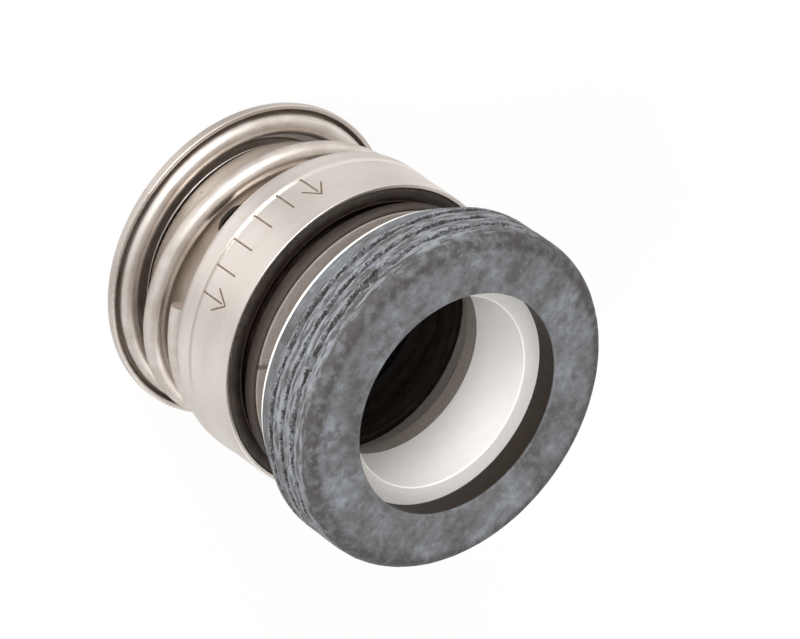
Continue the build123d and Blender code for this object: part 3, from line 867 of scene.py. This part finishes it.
def floor_gloss(tree):
    """Painted reflection: how brightly the floor glows for polished metal alone, dimmed by a painted shadow at
    the object's foot and brighter at some turns.
    """
    xyz = split(tree, node(tree, "ShaderNodeTexCoord").outputs["Object"])
    share = calc(tree, "ADD", calc(tree, "DIVIDE", turn_of(tree, xyz), 2.0 * math.pi), 0.5)
    # Painted bright and grey patches in the floor's reflection, by turn round the shaft.
    reflected_glow = shades(tree, share, [(at / 360.0 + 0.5, (value, value, value)) for at, value in FLOOR_REFLECTION_GLOW])
    # Painted shadow: the floor's reflected glow is dimmed close to the object's foot.
    foot = HOLDER_HIGH.x
    away = smooth(tree, radius_of(tree, xyz), foot + FLOOR_FOOT_FROM, foot + FLOOR_FOOT_TO)
    return times(tree, reflected_glow, spread(tree, away, FLOOR_FOOT_SHADOW, 1.0))


def white_floor():
    material = bpy.data.materials.new("white floor")
    material.use_nodes = True
    tree = material.node_tree
    shader = tree.nodes["Principled BSDF"]
    shader.inputs["Base Color"].default_value = FLOOR_GREY
    shader.inputs["Roughness"].default_value = 0.9
    faint = node(tree, "ShaderNodeBsdfDiffuse", {"Color": FLOOR_FAINT}).outputs[0]
    glow = node(tree, "ShaderNodeEmission", {"Color": (1.0, 1.0, 1.0, 1.0), "Strength": FLOOR_GLOW}).outputs[0]
    shown = node(tree, "ShaderNodeAddShader", {0: faint, 1: glow}).outputs[0]
    # Glossy rays see the floor glowing in the painted reflection pattern.
    found = {"Color": FLOOR_MIRRORED, "Strength": floor_gloss(tree)}
    gloss = node(tree, "ShaderNodeEmission", found).outputs[0]
    seen = light_path(tree, ["Is Camera Ray", "Is Transmission Ray"])
    mixed = node(tree, "ShaderNodeMixShader", {0: seen, 1: shader.outputs[0], 2: shown}).outputs[0]
    mirrored = light_path(tree, ["Is Glossy Ray"])
    mixed = node(tree, "ShaderNodeMixShader", {0: mirrored, 1: mixed, 2: gloss}).outputs[0]
    tree.links.new(mixed, tree.nodes["Material Output"].inputs["Surface"])
    mesh = bpy.data.meshes.new("floor")
    half = FLOOR_HALF
    corners = [(-half, -half, 0), (half, -half, 0), (half, half, 0), (-half, half, 0)]
    mesh.from_pydata(corners, [], [(0, 1, 2, 3)])
    mesh.materials.append(material)
    floor = bpy.data.objects.new("floor", mesh)
    bpy.context.scene.collection.objects.link(floor)


def soft_room():
    """White low down, warm and dark overhead, brighter to one side, so steel shows bright flanks."""
    world = bpy.data.worlds.new("room")
    world.use_nodes = True
    tree = world.node_tree
    way = node(tree, "ShaderNodeTexCoord").outputs["Generated"]
    room = shades(tree, split(tree, way)[2], ROOM_SHADES)
    side = node(tree, "ShaderNodeVectorMath", {0: way, 1: ROOM_BRIGHT_SIDE}, operation="DOT_PRODUCT")
    side = spread(tree, smooth(tree, side.outputs["Value"], -0.8, 0.8), ROOM_DIM, ROOM_BRIGHT)
    grey = node(tree, "ShaderNodeCombineXYZ", {0: side, 1: side, 2: side}).outputs[0]
    room = mix(tree, 1.0, room, grey, "MULTIPLY")
    seen = mix(tree, light_path(tree, ["Is Camera Ray"]), room, (1.0, 1.0, 1.0))
    tree.links.new(seen, tree.nodes["Background"].inputs["Color"])
    bpy.context.scene.world = world


def softbox(name, place, width, height, power, mirrored=True):
    """A soft rectangular lamp aimed at the object; mirrored says whether polished metal shows it."""
    lamp = bpy.data.lights.new(name, "AREA")
    lamp.shape = "RECTANGLE"
    lamp.size, lamp.size_y = width, height
    lamp.energy = power
    box = bpy.data.objects.new(name, lamp)
    way = (Vector(LAMP_TARGET) - Vector(place)).to_track_quat("-Z", "Y")
    box.matrix_world = Matrix.Translation(place) @ way.to_matrix().to_4x4()
    box.visible_glossy = mirrored
    bpy.context.scene.collection.objects.link(box)


def aim_camera():
    """The camera's right, down and ahead come from how the shaft lies in the photograph."""
    tilt, roll = AXIS_TILT, AXIS_ROLL
    right = Vector((-math.sin(roll), math.cos(tilt) * math.cos(roll), math.sin(tilt) * math.cos(roll)))
    down = Vector((math.cos(roll), math.cos(tilt) * math.sin(roll), math.sin(tilt) * math.sin(roll)))
    ahead = Vector((0.0, math.sin(tilt), -math.cos(tilt)))
    front = Vector((0.0, 0.0, CUP_HIGH.z))
    place = front - right * FRONT_RIGHT - down * FRONT_DOWN - ahead * FRONT_AHEAD
    data = bpy.data.cameras.new("camera")
    data.lens = LENS
    data.clip_start = 0.01
    camera = bpy.data.objects.new("camera", data)
    turn = Matrix((right, -down, -ahead)).transposed().to_4x4()
    camera.matrix_world = Matrix.Translation(place) @ turn
    bpy.context.scene.collection.objects.link(camera)
    bpy.context.scene.camera = camera


white_floor()
soft_room()
softbox("front", (-0.24, -0.5, 0.3), width=0.45, height=0.28, power=2.3)
softbox("bore", (0.28, -0.42, 0.38), width=0.4, height=0.3, power=1.8, mirrored=False)
softbox("back", (0.3, 0.35, 0.4), width=0.4, height=0.3, power=0.5)
aim_camera()
bpy.context.scene.view_settings.view_transform = "Standard"
